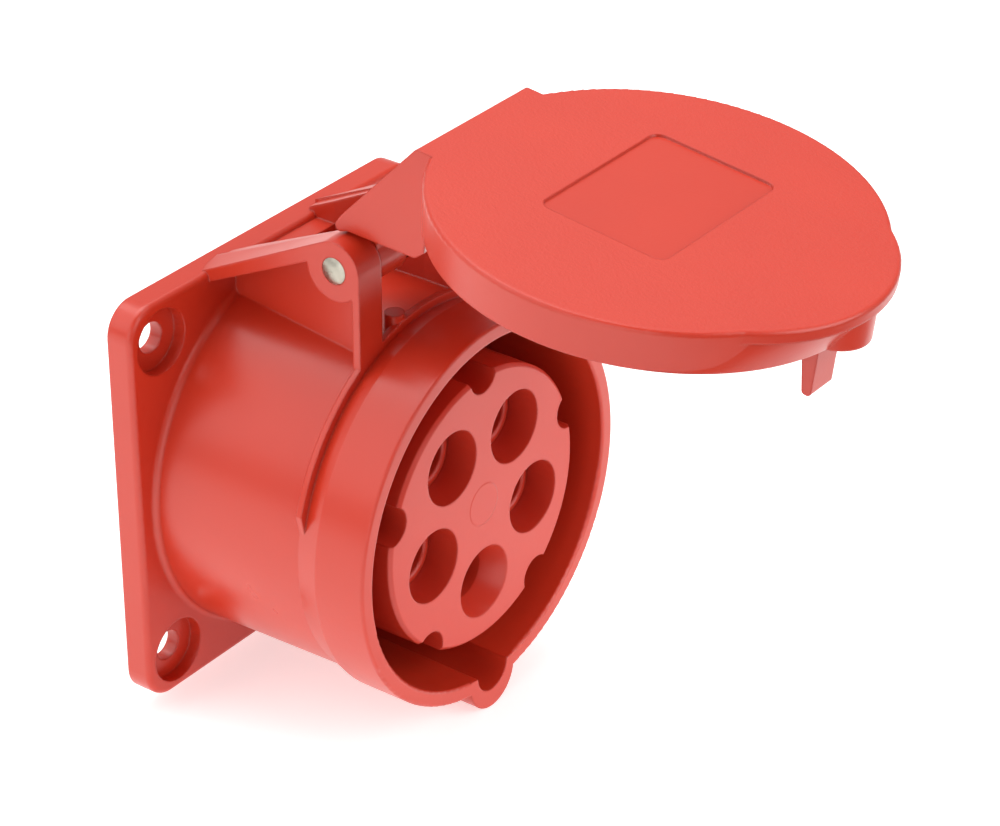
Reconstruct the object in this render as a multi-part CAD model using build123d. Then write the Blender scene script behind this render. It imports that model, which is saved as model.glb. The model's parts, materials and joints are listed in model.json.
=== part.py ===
from build123d import *
import os
from math import acos, asin, atan2, cos, degrees, hypot, radians, sin

# Five-pole industrial panel socket with a hinged lid.
# Millimetres and degrees. The origin is the centre of the flange's back face, which lies on the
# panel. +Z is up, the plug enters along +Y, and the socket's front looks along -Y.
# The lid is made in its closed place and then turned on the hinge pin to where it stands open.

# Flange
flange_side = 75.0
flange_thickness = 4.9
flange_corner_radius = 5.5
flange_edge_radius = 1.0
hole_inset = 7.5
hole_radius = 2.75
hole_seat_radius = 5.8
hole_seat_depth = 2.4

# Shroud
axis_drop = 0.7
shroud_length = 49.6
shroud_root_radius = 33.9
shroud_waist_radius = 33.3
collar_radius = 34.65
collar_length = 9.8
cone_length = 4.6
bore_front_radius = 31.85
bore_floor_radius = 31.4
rim_edge_radius = 0.5
root_fillet_radius = 1.0
plug_depth = 35.6
shoulder_thickness = 4.0
rear_bore_radius = 29.5

# Keyway at six o'clock
key_half_width = 4.1
key_depth = 3.75
key_side_wall = 1.9
key_bottom_wall = 3.4

# Hinge
hinge_forward = 31.5
hinge_height = 46.1
pin_radius = 2.3
pin_dome = 0.6
ear_half_span = 17.8
ear_dome_radius = 5.05
ear_gap_front = 12.0
ear_gap_root = 10.0
ear_web_thickness = 1.6
ear_ridge_width = 2.8
ear_ridge_rise = 1.1
ear_ridge_setback = 1.0
ear_border = 2.1
ear_front_border = 1.5
ear_boss_radius = 5.45
ear_column_depth = 2.3
ear_column_width = 6.8
roof_length = 4.1
side_rib_thickness = 1.2
side_rib_rise = 1.9
side_rib_turn = 163.0
side_rib_end_turn = 174.0
nub_radius = 1.7
nub_height = 2.4
nub_offset = 6.6
nub_forward = 3.3

# Lid
lid_open_angle = 82.7
lid_radius = 36.05
lid_edge_radius = 0.7
lid_rim_taper = 0.6
lid_face_height = 25.75
lid_skin = 2.4
lid_wall = 1.6
lid_closing_gap = 0.3
lid_collar_gap = 0.6
label_width = 31.6
label_height = 23.0
label_shift = 2.3
label_rise = 1.35
label_depth = 0.4
label_corner_radius = 2.0
nose_radius = 26.6
nose_reach = 3.2
nose_lip = 2.2
nose_lip_overhang = 0.5
nose_foot_shift = 0.6
catch_half_width = 3.0
catch_length = 11.0
catch_tip_thickness = 1.6
catch_root_thickness = 4.2
catch_inset = 3.2
catch_tip_radius = 0.7
gasket_width = 3.0
gasket_thickness = 2.3
gasket_lip_width = 1.2
gasket_lip_height = 1.2

# Hood and hinge lugs of the lid
hood_half_width = 14.4
hood_wall = 2.2
hood_brow_inset = 0.3
hood_foot_inset = 4.75
hood_underside = 6.8
hood_heel = -2.05
hood_heel_height = 8.1
hood_tip = -4.1
hood_tip_height = 4.2
hood_lip = -0.5
hood_lip_height = 5.75
hood_corner = 2.5
hood_edge_radius = 0.9
lug_radius = 4.75
lug_inner = 4.9
lug_front = 3.65
lug_back = 3.0
lug_side_gap = 0.3

# Torsion spring
spring_wire_radius = 0.55
spring_coil_radius = 3.6
spring_turns = 6
spring_turn_gap = 0.12
spring_foot_back = 11.5
spring_heel_length = 3.0

# Contact carrier
carrier_radius = 25.2
carrier_setback = 1.75
cover_edge_chamfer = 0.6
carrier_flange_thickness = 3.6
contact_circle_radius = 14.5
entry_radius = 6.55
entry_depth = 7.0
ledge_thickness = 2.0
ledge_hole_margin = 1.6
earth_countersink = 4.5
flute_radius = 3.5
flute_depth = 3.2

# Contacts
phase_pin_radius = 2.5
earth_pin_radius = 3.0
contact_bore_fit = 0.05
sleeve_wall = 1.3
sleeve_bore_length = 26.0
sleeve_slit_width = 0.8
sleeve_slit_length = 12.0
clip_thickness = 0.8
clip_groove_depth = 0.5
clip_width = 3.0
clip_setback = 3.0
clip_gap = 1.2
clip_room = 0.55
stop_collar_radius = 5.7
stop_collar_thickness = 2.2
pillar_radius = 4.6
pillar_reach = 11.5
wire_hole_radius = 2.2
wire_hole_depth = 9.5
clamp_screw_radius = 2.0
clamp_screw_place = 7.0
clamp_head_radius = 3.4
clamp_head_height = 2.4
slot_width = 0.9
slot_depth = 1.1

# Rear insert and its fixings
rear_plate_thickness = 5.5
barrier_thickness = 1.6
barrier_height = 8.5
barrier_inner_radius = 6.0
barrier_margin = 1.6
carrier_screw_radius = 1.5
carrier_screw_head_radius = 2.8
carrier_screw_head_height = 2.0
carrier_screw_length = 12.0
ring_inner_radius = 26.0
ring_thickness = 2.4
ring_lug_reach = 1.0
ring_lug_angle = 26.0
ring_lug_play = 2.0
ring_lug_count = 3
flange_gasket_inner = 31.9
flange_gasket_outer = 34.6
flange_gasket_depth = 2.0

# Fits
loose_fit = 0.15
pin_press_gap = 0.03
pin_running_gap = 0.08
screw_gap = 0.04
seal_gap = 0.1
cut_margin = 1.0

# Poles, by their angle on the contact circle, seen from the front
pole_angles = {"l1": 198.0, "l2": 126.0, "l3": 54.0, "n": 342.0, "earth": 270.0}
flute_angles = [90.0, 162.0, 234.0, 306.0, 18.0]

# Levels along Y and Z that several pieces share
axis_z = -axis_drop
hole_pitch = flange_side - 2 * hole_inset
front_y = -shroud_length
collar_back_y = front_y + collar_length
cone_back_y = collar_back_y + cone_length
annulus_floor_y = front_y + plug_depth
shoulder_back_y = annulus_floor_y + shoulder_thickness
carrier_face_y = front_y + carrier_setback
carrier_back_y = shoulder_back_y + carrier_flange_thickness
ring_back_y = carrier_back_y + ring_thickness
rear_plate_y = carrier_back_y + rear_plate_thickness
ledge_front_y = carrier_face_y + entry_depth
ledge_back_y = ledge_front_y + ledge_thickness
hinge_y = -hinge_forward
hinge_z = hinge_height
hinge_axis = Axis((0, hinge_y, hinge_z), (1, 0, 0))
lid_face_y = hinge_y - lid_face_height
lid_rim_y = front_y - lid_closing_gap
lid_rim_radius = lid_radius - lid_rim_taper
lid_inner_y = lid_face_y + lid_skin
catch_forward = lid_radius - catch_inset
lid_edge_drop = hinge_z - axis_z - lid_radius
hood_brow = lid_edge_drop + hood_brow_inset
hood_foot = lid_edge_drop + hood_foot_inset
gasket_outer_radius = lid_rim_radius - lid_wall - seal_gap
gasket_inner_radius = gasket_outer_radius - gasket_width
gasket_seat_y = lid_rim_y - gasket_thickness


def box_between(low, high):
    """A box from its lowest to its highest corner."""
    size = [h - l for l, h in zip(low, high)]
    centre = [(h + l) / 2 for l, h in zip(low, high)]
    return Pos(*centre) * Box(*size)


def disc(radius, start_y, end_y, x=0.0, z=0.0):
    """A cylinder along Y between two levels, at a place measured from the shroud's axis."""
    place = Pos(x, (start_y + end_y) / 2, axis_z + z) * Rot(90, 0, 0)
    return place * Cylinder(radius, abs(end_y - start_y))


def tube(inner, outer, start_y, end_y):
    """A ring along Y on the shroud's axis."""
    return disc(outer, start_y, end_y) - disc(inner, start_y - cut_margin, end_y + cut_margin)


def turned(points, x=0.0, z=0.0):
    """A solid turned about a line along Y, from points of radius and level."""
    profile = make_face(Polyline(*points, close=True))
    return Pos(x, 0, axis_z + z) * revolve(profile, Axis.Y)


def around(radius, angle):
    """X and Z of a point on a circle about the shroud's axis, seen from the front."""
    return radius * cos(radians(angle)), radius * sin(radians(angle))


def front_sketch(sketch, start_y, end_y):
    """A sketch drawn on the front view about the shroud's axis, carried between two levels."""
    plane = Plane((0, start_y, axis_z), x_dir=(1, 0, 0), z_dir=(0, -1, 0))
    return extrude(plane * sketch, amount=start_y - end_y)


def side_sketch(sketch, start_x, end_x):
    """A sketch drawn in Y and Z, carried along X between two places."""
    return extrude(Plane.YZ.offset(start_x) * sketch, amount=end_x - start_x)


def both_sides(solid):
    """A solid and its mirror image across the middle plane."""
    return [solid, mirror(solid, Plane.YZ)]


def shroud_outside():
    """The turned outside of the shroud: tapered barrel, cone and collar."""
    return turned([
        (0, -flange_thickness / 2),
        (shroud_root_radius, -flange_thickness / 2),
        (shroud_waist_radius, cone_back_y),
        (collar_radius, collar_back_y),
        (collar_radius, front_y),
        (0, front_y),
    ])


def root_cove():
    """The small cove between the shroud and the flange."""
    foot = -flange_thickness
    near = shroud_root_radius - root_fillet_radius
    far = shroud_root_radius + root_fillet_radius
    half = root_fillet_radius * cos(radians(45))
    middle = (far - half, foot - root_fillet_radius + half)
    profile = make_face(Wire(edges_of([
        Polyline((shroud_root_radius, foot - root_fillet_radius), (near, foot), (far, foot)),
        ThreePointArc((far, foot), middle, (shroud_root_radius, foot - root_fillet_radius)),
    ])))
    return Pos(0, 0, axis_z) * revolve(profile, Axis.Y)


def shroud_inside():
    """The bore: plug space in front, shoulder, and the insert's seat behind."""
    hole = carrier_radius + loose_fit
    return turned([
        (0, cut_margin),
        (rear_bore_radius, cut_margin),
        (rear_bore_radius, shoulder_back_y),
        (hole, shoulder_back_y),
        (hole, annulus_floor_y),
        (bore_floor_radius, annulus_floor_y),
        (bore_front_radius, front_y),
        (bore_front_radius, front_y - cut_margin),
        (0, front_y - cut_margin),
    ])


def bayonet_room():
    """The groove behind the shoulder and the slots that let the ring's lugs in."""
    reach = rear_bore_radius + ring_lug_reach + loose_fit
    room = [disc(reach, carrier_back_y, ring_back_y + loose_fit)]
    for index in range(ring_lug_count):
        turn = 360 / ring_lug_count * (index + 0.5)
        room.append(ring_sector(reach, ring_lug_angle + ring_lug_play, turn, ring_back_y, cut_margin))
    return room


def ring_sector(radius, angle, turn, start_y, end_y):
    """A wedge of a disc, centred on an angle of the front view."""
    half = radians(angle / 2)
    start = (radius * cos(half), -radius * sin(half))
    end = (radius * cos(half), radius * sin(half))
    wedge = make_face(Wire(edges_of([
        Line((0, 0), start), ThreePointArc(start, (radius, 0), end), Line(end, (0, 0)),
    ])))
    return front_sketch(Rot(0, 0, turn) * wedge, end_y, start_y)


def mounting_holes():
    """Four counterbored holes in the flange."""
    holes = []
    for x in (-hole_pitch / 2, hole_pitch / 2):
        for z in (-hole_pitch / 2, hole_pitch / 2):
            height = z - axis_z
            holes.append(disc(hole_radius, cut_margin, -flange_thickness - cut_margin, x, height))
            seat = -flange_thickness + hole_seat_depth
            holes.append(disc(hole_seat_radius, seat, -flange_thickness - cut_margin, x, height))
    return holes


def ear_outline(root_z, root_y):
    """The ear's side view: a rising edge, the round end about the pin, and the front edge."""
    reach_y = root_y - hinge_y
    reach_z = root_z - hinge_z
    turn = atan2(reach_z, reach_y) + acos(ear_dome_radius / hypot(reach_y, reach_z))
    meet = (hinge_y + ear_dome_radius * cos(turn), hinge_z + ear_dome_radius * sin(turn))
    crown = (turn + radians(180)) / 2
    top = (hinge_y + ear_dome_radius * cos(crown), hinge_z + ear_dome_radius * sin(crown))
    front = hinge_y - ear_dome_radius
    base_z = axis_z + bore_floor_radius * cos(radians(45))
    edges = [
        Line((root_y, root_z), meet),
        ThreePointArc(meet, top, (front, hinge_z)),
        Polyline((front, hinge_z), (front, base_z), (root_y, base_z), (root_y, root_z)),
    ]
    return make_face(Wire(edges_of(edges)))


def edges_of(curves):
    """The edges of several curves, in order."""
    found = []
    for curve in curves:
        found += list(curve.edges())
    return found


def ear():
    """The ear on the side of -X, with its sloped border, deep pocket, boss and column."""
    root_y = -flange_thickness / 2
    border_z = flange_side / 2 - flange_edge_radius / 2
    outer = ear_outline(border_z, root_y)
    ridge = ear_outline(border_z + ear_ridge_rise, root_y - ear_ridge_setback)
    ridge_x = ear_gap_root + ear_ridge_width
    plate = side_sketch(ridge, -ridge_x, -ear_gap_root)
    border = loft([
        Plane.YZ.offset(-ear_half_span) * outer,
        Plane.YZ.offset(-ridge_x) * ear_outline(border_z + ear_ridge_rise, root_y),
    ], ruled=True)
    body = plate + border
    body -= ear_pocket(border_z, root_y)
    body -= ear_gap_flare()
    return body


def web_plane_x(y):
    """The web's outer face, which spreads from the root to the front as the gap does."""
    inner = ear_gap_root + (ear_gap_front - ear_gap_root) * gap_share(y)
    return inner + ear_web_thickness


def gap_share(y):
    """How far a level lies from the roof's edge to the gap's full width."""
    return (y + flange_thickness + roof_length) / (hinge_y + flange_thickness + roof_length)


def ear_gap_flare():
    """The wedge that widens the gap between the ears towards the pin."""
    start = -flange_thickness - roof_length
    far = hinge_y - ear_dome_radius - cut_margin
    plan = make_face(Polyline(
        (0, start), (-ear_gap_root, start), (-ear_gap_front, hinge_y + ear_dome_radius),
        (-ear_gap_front, far), (0, far), close=True,
    ))
    return extrude(Plane.XY * plan, amount=hinge_z + 2 * ear_dome_radius)


def ear_pocket(border_z, root_y):
    """The moulding pocket in the ear's outer side, around the boss and beside the column."""
    slope = atan2(hinge_z + ear_dome_radius - border_z, root_y - hinge_y)
    drop = ear_border / cos(slope)
    front = hinge_y - ear_dome_radius + ear_front_border
    back = -flange_thickness
    low = axis_z + bore_floor_radius / 2
    rise = (hinge_z + ear_dome_radius - border_z) / (root_y - hinge_y)
    outline = make_face(Polyline(
        (back, low), (back, border_z + (root_y - back) * rise - drop),
        (front, border_z + (root_y - front) * rise - drop), (front, low), close=True,
    ))
    boss = Pos(hinge_y, hinge_z) * Circle(ear_boss_radius)
    above = make_face(Polyline(
        (hinge_y - ear_boss_radius, hinge_z), (hinge_y + ear_boss_radius, hinge_z),
        (hinge_y + ear_boss_radius, hinge_z + 2 * ear_dome_radius),
        (hinge_y - ear_boss_radius, hinge_z + 2 * ear_dome_radius), close=True,
    ))
    pocket = side_sketch(outline - boss - above, -ear_half_span - cut_margin, 0)
    back_x = web_plane_x(-flange_thickness)
    front_x = web_plane_x(front)
    plan = make_face(Polyline(
        (-2 * ear_half_span, back), (-back_x, back), (-front_x, front),
        (-2 * ear_half_span, front), close=True,
    ))
    beyond = extrude(Plane.XY * plan, amount=2 * hinge_z)
    pocket = pocket.intersect(beyond)
    column = box_between(
        (-ear_half_span + ear_column_depth, front, 0),
        (0, front + ear_column_width, hinge_z),
    )
    return pocket - column


def side_rib():
    """The low rib that runs on from the ear's front face round the shroud and dies away."""
    middle = (90 + side_rib_turn) / 2
    outside = [around(shroud_waist_radius + side_rib_rise, turn)
               for turn in (90, middle, side_rib_turn)]
    inside = [around(bore_front_radius, turn) for turn in (side_rib_turn, middle, 90)]
    foot = around(shroud_waist_radius - side_rib_rise / 2, side_rib_end_turn)
    shape = make_face(Wire(edges_of([
        ThreePointArc(*outside), Polyline(outside[-1], foot, inside[0]),
        ThreePointArc(*inside), Line(inside[-1], outside[0]),
    ])))
    front = hinge_y - ear_dome_radius
    return front_sketch(shape, front + side_rib_thickness, front)


def keyway_rib():
    """The round rib under the shroud that houses the keyway."""
    rib_radius = key_half_width + key_side_wall
    top = bore_front_radius + key_depth + key_bottom_wall
    centre = Pos(0, -(top - rib_radius))
    neck = Pos(0, -(top - rib_radius) / 2) * Rectangle(2 * rib_radius, top - rib_radius)
    return front_sketch(centre * Circle(rib_radius) + neck, -flange_thickness / 2, front_y)


def keyway_cut():
    """The round-bottomed groove inside the shroud."""
    bottom = bore_front_radius + key_depth
    centre = bottom - key_half_width
    start = carrier_radius + loose_fit
    slot = Pos(0, -(centre + start) / 2) * Rectangle(2 * key_half_width, centre - start)
    return front_sketch(slot + Pos(0, -centre) * Circle(key_half_width), annulus_floor_y,
                        front_y - cut_margin)


def housing():
    """Flange, shroud, keyway rib and hinge ears in one moulding."""
    plane = Plane((0, 0, 0), x_dir=(1, 0, 0), z_dir=(0, -1, 0))
    plate = extrude(plane * RectangleRounded(flange_side, flange_side, flange_corner_radius),
                    amount=flange_thickness)
    plate = fillet(front_edges(plate), flange_edge_radius)
    shroud = shroud_outside() - shroud_inside()
    shroud = fillet(front_edges(shroud), rim_edge_radius)
    body = plate + shroud + root_cove() + keyway_rib()
    body = body + both_sides(ear() + side_rib())
    roof_z = flange_side / 2 - flange_edge_radius
    body += box_between((-ear_gap_root, -flange_thickness - roof_length, 0),
                        (ear_gap_root, -flange_thickness / 2, roof_z))
    nub_y = hinge_y - nub_forward
    nub_top = axis_z + shroud_waist_radius + nub_height
    body += Pos(-nub_offset, nub_y, nub_top / 2) * Cylinder(nub_radius, nub_top)
    body -= shroud_inside()
    body -= keyway_cut()
    body -= bayonet_room()
    body -= mounting_holes()
    body -= tube(flange_gasket_inner, flange_gasket_outer, -flange_gasket_depth, cut_margin)
    pin_hole = Pos(0, hinge_y, hinge_z) * Rot(0, 90, 0)
    body -= pin_hole * Cylinder(pin_radius + pin_press_gap, 2 * ear_half_span + 2 * cut_margin)
    return body


def front_edges(body):
    """The edges of a body's foremost face."""
    return body.faces().sort_by(Axis.Y)[0].edges()


def hinge_pin():
    """A plain pin with a low dome at each end."""
    half = ear_half_span
    dome_radius = (pin_radius ** 2 + pin_dome ** 2) / (2 * pin_dome)
    centre = half + pin_dome - dome_radius
    turn = asin(pin_radius / dome_radius) / 2
    middle = (centre + dome_radius * cos(turn), dome_radius * sin(turn))
    profile = make_face(Wire(edges_of([
        Line((0, 0), (0, pin_radius)),
        Line((0, pin_radius), (half, pin_radius)),
        ThreePointArc((half, pin_radius), middle, (half + pin_dome, 0)),
        Line((half + pin_dome, 0), (0, 0)),
    ])))
    end = revolve(profile, Axis.X)
    return Pos(0, hinge_y, hinge_z) * (end + mirror(end, Plane.YZ))


def lid_disc():
    """The lid's round body with its tapered rim."""
    body = turned([
        (0, lid_face_y), (lid_radius, lid_face_y), (lid_rim_radius, lid_rim_y), (0, lid_rim_y),
    ])
    return fillet(front_edges(body), lid_edge_radius)


def lid_nose():
    """The nose over the keyway: a lip above, drawn in to the rim below, and a round block."""
    centre = lid_radius + nose_reach - nose_radius
    lip_y = lid_face_y + nose_lip
    lip = front_sketch(Pos(0, -centre) * Circle(nose_radius), lip_y, lid_face_y)
    lip = fillet(front_edges(lip), lid_edge_radius)
    low_plane = Plane((0, lid_rim_y, axis_z), x_dir=(1, 0, 0), z_dir=(0, -1, 0))
    high_plane = Plane((0, lip_y, axis_z), x_dir=(1, 0, 0), z_dir=(0, -1, 0))
    foot = Pos(0, -nose_foot_shift) * Circle(lid_rim_radius - nose_foot_shift / 2)
    flare = loft([
        low_plane * foot, high_plane * Pos(0, -centre) * Circle(nose_radius - nose_lip_overhang),
    ])
    block_radius = key_half_width + key_side_wall
    block_top = bore_front_radius + key_depth + key_bottom_wall
    block = front_sketch(Pos(0, -(block_top - block_radius)) * Circle(block_radius),
                         lid_rim_y, lid_face_y + nose_lip / 2)
    return [lip, flare, block]


def lid_side(points, start_x, end_x, rounding=0):
    """A side view of the lid's hinge end, from points of drop below the pin and reach in front."""
    moved = [(hinge_y - reach, hinge_z - drop) for drop, reach in points]
    if rounding:
        outline = FilletPolyline(*moved, radius=rounding, close=True)
    else:
        outline = Polyline(*moved, close=True)
    return side_sketch(make_face(outline), start_x, end_x)


def hood():
    """The hood that covers the hinge: two cheeks, a sloping back, open underneath."""
    shell = lid_side([
        (hood_brow, lid_face_height), (hood_heel, hood_heel_height), (hood_tip, hood_tip_height),
        (hood_lip, hood_lip_height), (hood_foot - hood_corner, hood_underside),
        (hood_foot, hood_underside + hood_corner), (hood_foot, lid_face_height),
    ], -hood_half_width, hood_half_width, hood_edge_radius)
    inner = hood_half_width - hood_wall
    shift = hood_back_shift(hood_wall)
    deep = lid_face_height - lid_skin
    hollow = lid_side([
        (hood_back_drop(deep) + shift, deep), (hood_heel + shift, hood_heel_height),
        (hood_heel + shift, 0), (hood_foot + cut_margin, 0), (hood_foot + cut_margin, deep),
    ], -inner, inner)
    return shell - hollow


def hood_back_drop(reach):
    """How far below the pin the hood's sloping back lies, for a reach in front of the pin."""
    share = (reach - hood_heel_height) / (lid_face_height - hood_heel_height)
    return hood_heel + share * (hood_brow - hood_heel)


def hood_back_shift(depth):
    """How far a line that lies a depth inside the hood's back is moved down from it."""
    rise = lid_face_height - hood_heel_height
    return depth * hypot(hood_brow - hood_heel, rise) / rise


def hinge_lugs():
    """Two lugs of the lid on the pin, each carried by an arm to the hood's back."""
    outer = ear_gap_front - lug_side_gap
    deep = lid_face_height - lid_skin
    lugs = []
    for side in (-1, 1):
        middle = side * (outer + lug_inner) / 2
        place = Pos(middle, hinge_y, hinge_z) * Rot(0, 90, 0)
        low, high = sorted((side * lug_inner, side * outer))
        arm = lid_side([
            (-lug_back, 0), (lug_front, 0), (lug_front, hood_heel_height),
            (hood_back_drop(deep) + hood_back_shift(hood_wall), deep),
            (hood_heel + hood_back_shift(hood_wall / 2), hood_heel_height),
            (-lug_back, lug_radius),
        ], low, high)
        lugs.append(place * Cylinder(lug_radius, outer - lug_inner) + arm)
    return lugs


def catch_leg():
    """The leg that reaches into the keyway and holds a plug by its rib."""
    leg = catch_outline(0)
    tip_edges = leg.edges().filter_by(Axis.X).sort_by(Axis.Y)[-2:]
    return fillet(tip_edges, catch_tip_radius)


def catch_outline(gap):
    """The leg's plain block, larger all round by a gap."""
    front_z = axis_z - catch_forward - gap
    tip_y = lid_rim_y + catch_length
    outline = make_face(Polyline(
        (tip_y, front_z), (lid_inner_y, front_z),
        (lid_inner_y, front_z + catch_root_thickness + 2 * gap),
        (tip_y, front_z + catch_tip_thickness + 2 * gap), close=True,
    ))
    return side_sketch(outline, -catch_half_width - gap, catch_half_width + gap)


def lid():
    """The lid in its closed place, then turned open."""
    body = lid_disc() + lid_nose()
    body += hood()
    body -= disc(collar_radius + lid_collar_gap, lid_rim_y, 0)
    inner = gasket_outer_radius + seal_gap
    lip_inner = gasket_inner_radius - gasket_lip_width - seal_gap
    body -= disc(inner, gasket_seat_y, lid_rim_y + cut_margin)
    body -= disc(lip_inner, lid_inner_y, lid_rim_y)
    body += tube(lip_inner, gasket_inner_radius - seal_gap, gasket_seat_y - lid_skin / 2,
                 gasket_seat_y + gasket_lip_height)
    body += hinge_lugs()
    body += catch_leg()
    body -= label_recess()
    pin_hole = Pos(0, hinge_y, hinge_z) * Rot(0, 90, 0)
    body -= pin_hole * Cylinder(pin_radius + pin_running_gap, 2 * hood_half_width)
    return body.rotate(hinge_axis, -lid_open_angle)


def label_recess():
    """A shallow bare recess on the lid's face."""
    shape = Pos(label_shift, label_rise) * RectangleRounded(label_width, label_height,
                                                            label_corner_radius)
    return front_sketch(shape, lid_face_y + label_depth, lid_face_y - cut_margin)


def lid_gasket():
    """A soft ring inside the lid's rim, turned open with it and cut away round the leg."""
    ring = tube(gasket_inner_radius, gasket_outer_radius, gasket_seat_y,
                gasket_seat_y + gasket_thickness)
    ring -= catch_outline(loose_fit)
    return ring.rotate(hinge_axis, -lid_open_angle)


def lid_spring():
    """A torsion spring round the pin: one leg on the shroud, the other behind the hood's heel."""
    foot = (hinge_y + spring_foot_back, axis_z + shroud_root_radius + spring_wire_radius)
    heel = open_point(hood_tip - spring_wire_radius - loose_fit, hood_tip_height)
    first = tangent_angle(foot, 1)
    last = tangent_angle(heel, -1)
    pitch = 2 * spring_wire_radius + spring_turn_gap
    height = pitch * (spring_turns + (last - first) % 360 / 360)
    path = Helix(pitch, height, spring_coil_radius)
    coil = sweep(Plane(path @ 0, z_dir=path % 0) * Circle(spring_wire_radius), path=path)
    body = Pos(-height / 2, hinge_y, hinge_z) * Rot(first + 90, 0, 0) * Rot(0, 90, 0) * coil
    body += spring_leg(-height / 2, first, foot, 0)
    body += spring_leg(height / 2, last, heel, spring_heel_length)
    return body


def open_point(drop, reach):
    """Y and Z of a point of the open lid, from its drop below the pin and reach in front."""
    lean = radians(lid_open_angle)
    return (hinge_y - drop * sin(lean) - reach * cos(lean),
            hinge_z - drop * cos(lean) + reach * sin(lean))


def tangent_angle(point, side):
    """Where a wire from a point of the side view meets the coil, as an angle about the pin."""
    reach_y = point[0] - hinge_y
    reach_z = point[1] - hinge_z
    share = acos(spring_coil_radius / hypot(reach_y, reach_z))
    return degrees(atan2(reach_z, reach_y) + side * share)


def spring_leg(x, angle, point, beyond):
    """A straight wire from the coil to a point of the side view, and some way beyond it."""
    start = Vector(x, hinge_y + spring_coil_radius * cos(radians(angle)),
                   hinge_z + spring_coil_radius * sin(radians(angle)))
    reach = Vector(x, *point) - start
    wire = Cylinder(spring_wire_radius, reach.length + beyond,
                    align=(Align.CENTER, Align.CENTER, Align.MIN))
    return Plane(start, z_dir=reach) * wire


def fluted(body, start_y, end_y):
    """A body with the half-round flutes cut down its side between two levels."""
    for angle in flute_angles:
        x, z = around(carrier_radius - flute_depth + flute_radius, angle)
        body -= disc(flute_radius, start_y, end_y, x, z)
    return body


def contact_cover():
    """The front plate of the insert, with the ways in to the contacts."""
    body = disc(carrier_radius, carrier_face_y, ledge_back_y)
    body = chamfer(front_edges(body), cover_edge_chamfer)
    body = fluted(body, carrier_face_y - cut_margin, ledge_back_y + cut_margin)
    for name, angle in pole_angles.items():
        x, z = around(contact_circle_radius, angle)
        body -= entry(name, x, z)
    return body


def contact_carrier():
    """The block behind the cover that holds the contacts, with a flange at its back."""
    body = disc(carrier_radius, ledge_back_y, shoulder_back_y)
    body = fluted(body, ledge_back_y - cut_margin, annulus_floor_y)
    body += disc(rear_bore_radius - loose_fit, shoulder_back_y, carrier_back_y)
    for name, angle in pole_angles.items():
        x, z = around(contact_circle_radius, angle)
        cavity = sleeve_radius(name) + clip_thickness - clip_groove_depth + clip_room
        body -= disc(cavity, ledge_back_y - cut_margin, carrier_back_y + cut_margin, x, z)
    end = rear_plate_y - carrier_screw_length
    return body - disc(carrier_screw_radius + screw_gap, end, carrier_back_y + cut_margin)


def entry(name, x, z):
    """The way in to a contact: a straight bore with a ledge, or a countersink on the earth pole."""
    hole = ledge_hole(name)
    straight = ledge_front_y
    if name == "earth":
        straight = carrier_face_y
    return turned([
        (0, carrier_face_y - cut_margin), (entry_radius, carrier_face_y - cut_margin),
        (entry_radius, straight), (hole, max(straight, carrier_face_y + earth_countersink)),
        (hole, ledge_back_y + cut_margin), (0, ledge_back_y + cut_margin),
    ], x, z)


def bore_radius(name):
    """The inner radius of a pole's sleeve."""
    pin = earth_pin_radius if name == "earth" else phase_pin_radius
    return pin + contact_bore_fit


def sleeve_radius(name):
    """The outer radius of a pole's sleeve."""
    return bore_radius(name) + sleeve_wall


def ledge_hole(name):
    """The radius of the hole in the ledge in front of a sleeve."""
    return bore_radius(name) + ledge_hole_margin


def contact(name, angle):
    """A turned brass contact: slotted sleeve, stop collar and drilled terminal pillar."""
    x, z = around(contact_circle_radius, angle)
    outer = sleeve_radius(name)
    inner = bore_radius(name)
    start = ledge_back_y + loose_fit
    collar_end = carrier_back_y + stop_collar_thickness
    groove = start + clip_setback
    body = turned([
        (inner, start), (outer, start), (outer, groove), (outer - clip_groove_depth, groove),
        (outer - clip_groove_depth, groove + clip_width), (outer, groove + clip_width),
        (outer, carrier_back_y), (stop_collar_radius, carrier_back_y),
        (stop_collar_radius, collar_end), (pillar_radius, collar_end),
        (pillar_radius, pillar_reach), (wire_hole_radius, pillar_reach),
        (wire_hole_radius, pillar_reach - wire_hole_depth), (0, pillar_reach - wire_hole_depth),
        (0, start + sleeve_bore_length), (inner, start + sleeve_bore_length),
    ], x, z)
    for turn in (45, 135):
        slit = Box(sleeve_slit_width, sleeve_slit_length, 2 * outer + cut_margin)
        middle = start + sleeve_slit_length / 2 - cut_margin / 2
        body -= Pos(x, middle, axis_z + z) * Rot(0, turn, 0) * slit
    body -= clamp_cylinder(angle, clamp_screw_radius + screw_gap, 0, pillar_radius + cut_margin)
    return body


def clamp_cylinder(angle, radius, start, end):
    """A cylinder along the clamp screw's line, measured outwards from the pillar's middle."""
    length = end - start
    x, z = around(contact_circle_radius + start + length / 2, angle)
    level = pillar_reach - clamp_screw_place
    return Pos(x, level, axis_z + z) * Rot(0, 90 - angle, 0) * Cylinder(radius, length)


def clip(name, angle):
    """A split spring ring in the sleeve's groove."""
    x, z = around(contact_circle_radius, angle)
    inner = sleeve_radius(name) - clip_groove_depth
    outer = inner + clip_thickness
    start = ledge_back_y + loose_fit + clip_setback
    ring = turned([
        (inner, start), (outer, start), (outer, start + clip_width), (inner, start + clip_width),
    ], x, z)
    gap = Pos(x, start + clip_width / 2, axis_z + z) * Rot(0, -angle, 0)
    return ring - gap * Pos(outer, 0, 0) * Box(2 * outer, clip_width * 2, clip_gap)


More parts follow.
